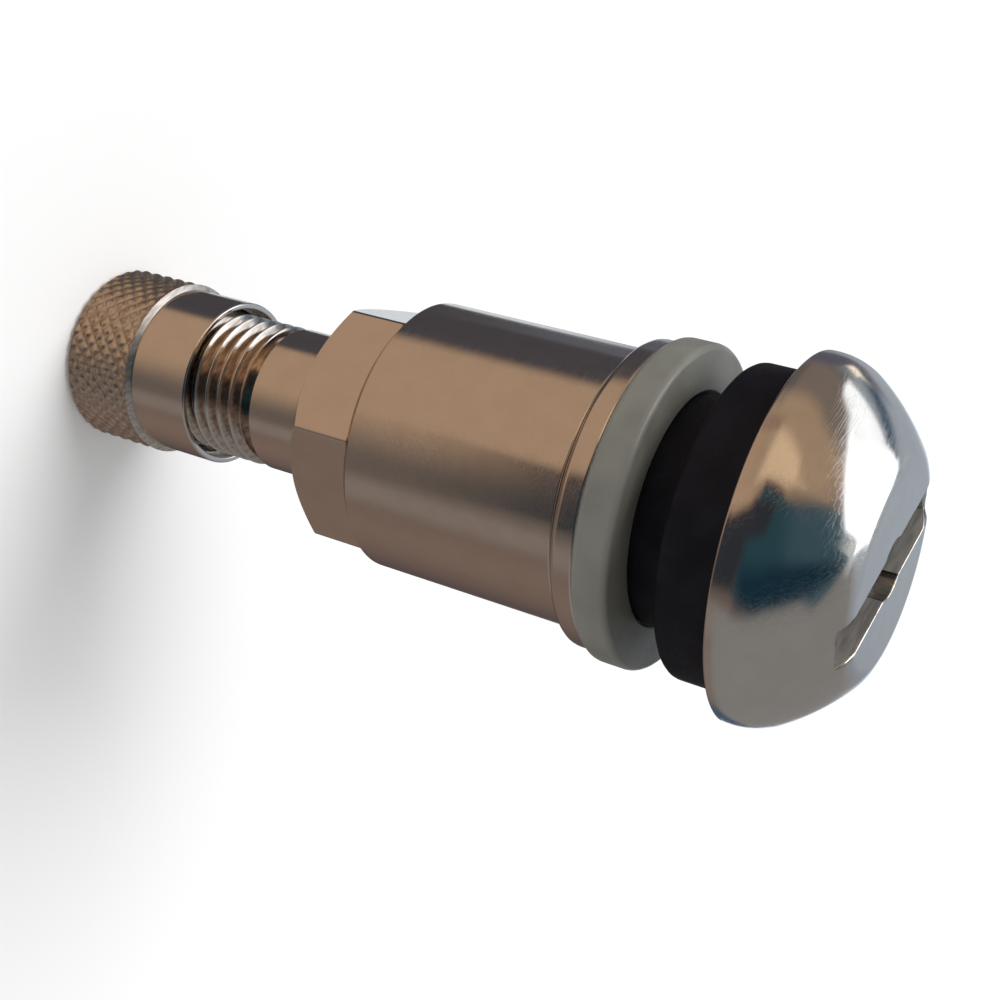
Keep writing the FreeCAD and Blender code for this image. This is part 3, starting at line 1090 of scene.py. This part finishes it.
def floor():
    """Plain pale floor. The surround takes its place in the metal's reflections."""
    mesh = bpy.data.meshes.new("floor")
    corners = [(floor_half_size * across, floor_half_size * along, 0)
               for across, along in ((-1, -1), (1, -1), (1, 1), (-1, 1))]
    mesh.from_pydata(corners, [], [(0, 1, 2, 3)])
    finish = Finish("floor")
    finish.set(Base_Color=(floor_shade, floor_shade, floor_shade, 1), Roughness=0.9,
               Specular_IOR_Level=0.0)
    mesh.materials.append(finish.material)
    ground = bpy.data.objects.new("floor", mesh)
    bpy.context.scene.collection.objects.link(ground)
    ground.visible_glossy = False
    ground.visible_transmission = False


world_strength = 0.54
sun_share = 0.54
sun_azimuth = 228
sun_elevation = 55
sun_spread = 40


def light():
    """A pale world and one broad lamp, which together light white as white."""
    world = bpy.data.worlds.new("studio")
    bpy.context.scene.world = world
    world.use_nodes = True
    nodes, links = world.node_tree.nodes, world.node_tree.links
    background = nodes["Background"]
    background.inputs["Color"].default_value = (1, 1, 1, 1)
    rays = nodes.new("ShaderNodeLightPath").outputs
    seen = rays["Is Camera Ray"]
    for kind in ("Is Glossy Ray", "Is Transmission Ray"):
        either = nodes.new("ShaderNodeMath")
        either.operation = "MAXIMUM"
        links.new(seen, either.inputs[0])
        links.new(rays[kind], either.inputs[1])
        seen = either.outputs[0]
    strength = nodes.new("ShaderNodeMapRange")
    strength.inputs["To Min"].default_value = world_strength
    strength.inputs["To Max"].default_value = 1.0
    links.new(seen, strength.inputs["Value"])
    links.new(strength.outputs[0], background.inputs["Strength"])
    lamp = bpy.data.lights.new("lamp", "SUN")
    lamp.angle = math.radians(sun_spread)
    lamp.energy = math.pi * sun_share / math.sin(math.radians(sun_elevation))
    sun = bpy.data.objects.new("lamp", lamp)
    bpy.context.scene.collection.objects.link(sun)
    azimuth, elevation = math.radians(sun_azimuth), math.radians(sun_elevation)
    back = Vector((math.cos(azimuth) * math.cos(elevation),
                   math.sin(azimuth) * math.cos(elevation), math.sin(elevation)))
    sun.rotation_euler = back.to_track_quat("Z", "Y").to_euler()
    sun.visible_glossy = False


def camera():
    """The photograph's camera, rolled so that the valve lies across the picture."""
    lens = bpy.data.cameras.new("camera")
    lens.lens = camera_lens
    lens.sensor_width = camera_sensor
    lens.clip_start = millimetre
    eye = bpy.data.objects.new("camera", lens)
    bpy.context.scene.collection.objects.link(eye)
    back = (Vector(camera_place) - Vector(camera_aim)).normalized()
    level = back.to_track_quat("Z", "Y").to_matrix()
    rolled = level @ Matrix.Rotation(-math.radians(camera_roll), 3, "Z")
    eye.matrix_world = Matrix.Translation(Vector(camera_place) * millimetre) @ rolled.to_4x4()
    bpy.context.scene.camera = eye


# Assembly: each piece with the solid it stands for, the body it rides on and its slot

def place(piece, node, body, slot):
    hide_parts(node)
    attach(piece, body)


stem_plate = plated_brass("plated_brass_stem", (
    # Painted shade: the cap thread's flanks and roots are a darker brown for the shade in its
    # grooves.
    (cap_thread_painted_shade, (0.68, 0.58, 0.50), 0.15, 1.0),
    (slot_part, (0.52, 0.50, 0.47), 0.30, 0.6),
))
nut_plate = plated_brass("plated_brass_nut", (
    # Painted shade: the groove beside the flange is a darker brown for the shade in it.
    (groove_painted_shade, (0.45, 0.36, 0.30), 0.30, 1.0),
    # Painted shade: the sleeve's edge against the hexagon is a darker brown for the shade in that
    # corner.
    (shoulder_painted_shade, (0.52, 0.40, 0.33), 0.20, 1.0),
))
cap_plate = plated_brass("plated_brass_cap", ((knurl_part, (0.86, 0.79, 0.71), 0.38, 1.0),),
                         ripple=0.002)
grommet_black = rubber("grommet_rubber", (0.0080, 0.0080, 0.0135), (0.0045, 0.0045, 0.0090))
seal_black = rubber("seal_rubber", (0.030, 0.028, 0.027), (0.018, 0.017, 0.016))
brass = core_brass()
steel = spring_steel()

place(stem(stem_plate), "stem", "stem", "plated_brass")
place(grommet(grommet_black), "grommet", "stem", "grommet_rubber")
place(washer(nylon()), "washer", "washer", "nylon")
place(nut(nut_plate), "nut", "nut", "plated_brass")
place(cap(cap_plate), "cap", "cap", "plated_brass")
place(cap_seal(seal_black), "cap_seal", "cap_seal", "seal_rubber")
spring = core_spring(steel)
place(spring, "core_spring", "stem", "spring_steel")
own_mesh(spring)

core_finishes = {
    "core_plug": brass,
    "core_barrel": brass,
    "core_pin": brass,
    "core_cup": brass,
    "core_gasket": gasket_plastic(),
    "core_seal": seal_black,
}
for node, finish in core_finishes.items():
    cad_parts[node].material_slots[0].material = finish

room()
floor()
light()
camera()
bpy.context.scene.view_settings.view_transform = "Standard"
